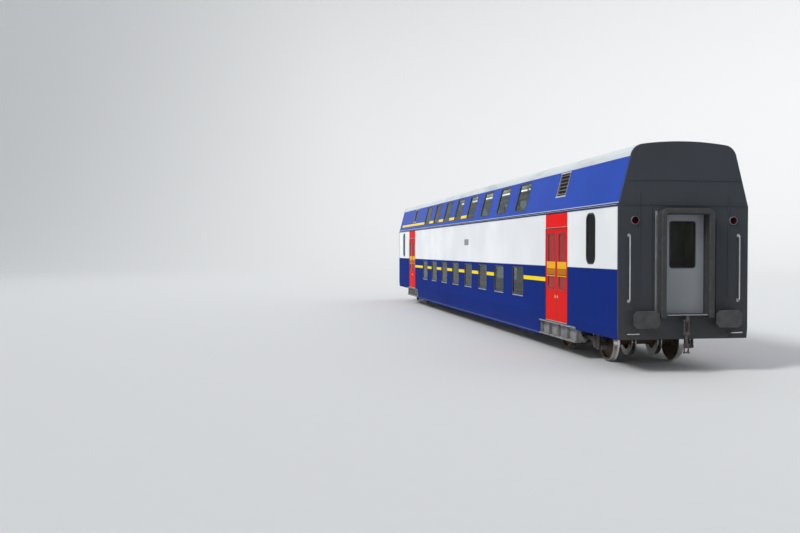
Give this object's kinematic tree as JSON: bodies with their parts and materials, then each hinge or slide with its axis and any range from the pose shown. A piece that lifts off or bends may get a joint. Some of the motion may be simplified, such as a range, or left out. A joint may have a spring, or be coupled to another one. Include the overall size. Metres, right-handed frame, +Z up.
{
  "type": "double-deck railway coach",
  "caption": "Double-deck passenger railway coach with leaning upper sides, two bogies, paired side doors and gangways at both ends.",
  "frame": {"origin": "centre of the coach at the lowest point of the wheel flanges, 28 mm below the rail head", "axes": "+X along the coach to its front end, +Y to its left side, +Z up"},
  "size_m": [26.8, 2.818, 4.628],
  "materials": {
    "axle_box_iron": "rough",
    "blue_paint": "gloss paint",
    "bogie_paint": "matt paint",
    "buffer_steel": "greased",
    "ceiling_panel": "matt",
    "display_glass": "gloss",
    "door_red": "gloss paint",
    "end_door_paint": "satin paint",
    "end_paint": "satin paint",
    "floor_covering": "matt",
    "forged_steel": "rough",
    "gangway_rubber": "matt",
    "grille_metal": "matt paint",
    "gutter_paint": "satin paint",
    "navy_paint": "gloss paint",
    "pole_steel": "brushed",
    "roof_paint": "satin paint",
    "seat_cloth": "woven",
    "spring_rubber": "matt",
    "spring_steel": "painted coil",
    "stair_covering": "matt",
    "step_paint": "satin paint",
    "tinted_glass": "tinted",
    "tread_plate": "brushed",
    "underbody_paint": "matt paint",
    "wall_panel": "matt",
    "wheel_steel": "bright tread, rusty web",
    "white_paint": "gloss paint"
  },
  "bodies": {
    "coach": {"bridge_plates": "tread_plate", "buffers_front": "buffer_steel", "buffers_rear": "buffer_steel", "destination_displays": "display_glass", "door_front_left": "door_red", "door_front_right": "door_red", "door_glass_left": "tinted_glass", "door_glass_right": "tinted_glass", "door_rear_left": "door_red", "door_rear_right": "door_red", "door_steps": "step_paint", "draw_hook_front": "forged_steel", "draw_hook_rear": "forged_steel", "end_door_rails": "pole_steel", "end_wall_front": "end_paint", "end_wall_rear": "end_paint", "end_window_glass": "tinted_glass", "gangway_ring_front": "gangway_rubber", "gangway_ring_rear": "gangway_rubber", "grab_poles": "pole_steel", "gutters": "gutter_paint", "intake_grilles_left": "grille_metal", "intake_grilles_right": "grille_metal", "lower_deck_floor": "floor_covering", "lower_deck_seats": "seat_cloth", "lower_glass_left": "tinted_glass", "lower_glass_right": "tinted_glass", "lower_side_left": "navy_paint", "lower_side_right": "navy_paint", "partitions": "wall_panel", "roof": "roof_paint", "stairs_front": "stair_covering", "stairs_rear": "stair_covering", "tub_bulkheads": "underbody_paint", "underframe_front": "underbody_paint", "underframe_rear": "underbody_paint", "upper_deck_floor": "floor_covering", "upper_deck_seats": "seat_cloth", "upper_glass_left": "tinted_glass", "upper_glass_right": "tinted_glass", "upper_side_left": "blue_paint", "upper_side_right": "blue_paint", "vestibule_ceilings": "ceiling_panel", "vestibule_floors": "floor_covering", "waist_side_left": "white_paint", "waist_side_right": "white_paint"},
    "bogie_front": {"air_springs_front": "spring_rubber", "axle_boxes_front": "axle_box_iron", "bogie_frame_front": "bogie_paint", "primary_springs_front": "spring_steel"},
    "bogie_rear": {"air_springs_rear": "spring_rubber", "axle_boxes_rear": "axle_box_iron", "bogie_frame_rear": "bogie_paint", "primary_springs_rear": "spring_steel"},
    "wheelset_1": {"wheelset_1": "wheel_steel"},
    "wheelset_2": {"wheelset_2": "wheel_steel"},
    "wheelset_3": {"wheelset_3": "wheel_steel"},
    "wheelset_4": {"wheelset_4": "wheel_steel"},
    "end_door_front": {"end_door_front": "end_door_paint"},
    "end_door_rear": {"end_door_rear": "end_door_paint"}
  },
  "joints": [
    {"name": "front_bogie_pivot", "type": "hinge", "parent": "coach", "child": "bogie_front", "pos_m": [10, 0, 0.7], "axis": [0, 0, 1], "range_deg": [-4, 4]},
    {"name": "rear_bogie_pivot", "type": "hinge", "parent": "coach", "child": "bogie_rear", "pos_m": [-10, 0, 0.7], "axis": [0, 0, 1], "range_deg": [-4, 4]},
    {"name": "wheelset_1_spin", "type": "hinge", "parent": "bogie_front", "child": "wheelset_1", "pos_m": [11.25, 0, 0.448], "axis": [0, 1, 0], "continuous": true},
    {"name": "wheelset_2_spin", "type": "hinge", "parent": "bogie_front", "child": "wheelset_2", "pos_m": [8.75, 0, 0.448], "axis": [0, 1, 0], "continuous": true},
    {"name": "wheelset_3_spin", "type": "hinge", "parent": "bogie_rear", "child": "wheelset_3", "pos_m": [-8.75, 0, 0.448], "axis": [0, 1, 0], "continuous": true},
    {"name": "wheelset_4_spin", "type": "hinge", "parent": "bogie_rear", "child": "wheelset_4", "pos_m": [-11.25, 0, 0.448], "axis": [0, 1, 0], "continuous": true},
    {"name": "front_end_door_slide", "type": "slide", "parent": "coach", "child": "end_door_front", "axis": [0, 1, 0], "range_m": [0, 0.75]},
    {"name": "rear_end_door_slide", "type": "slide", "parent": "coach", "child": "end_door_rear", "axis": [0, 1, 0], "range_m": [0, 0.75]}
  ]
}
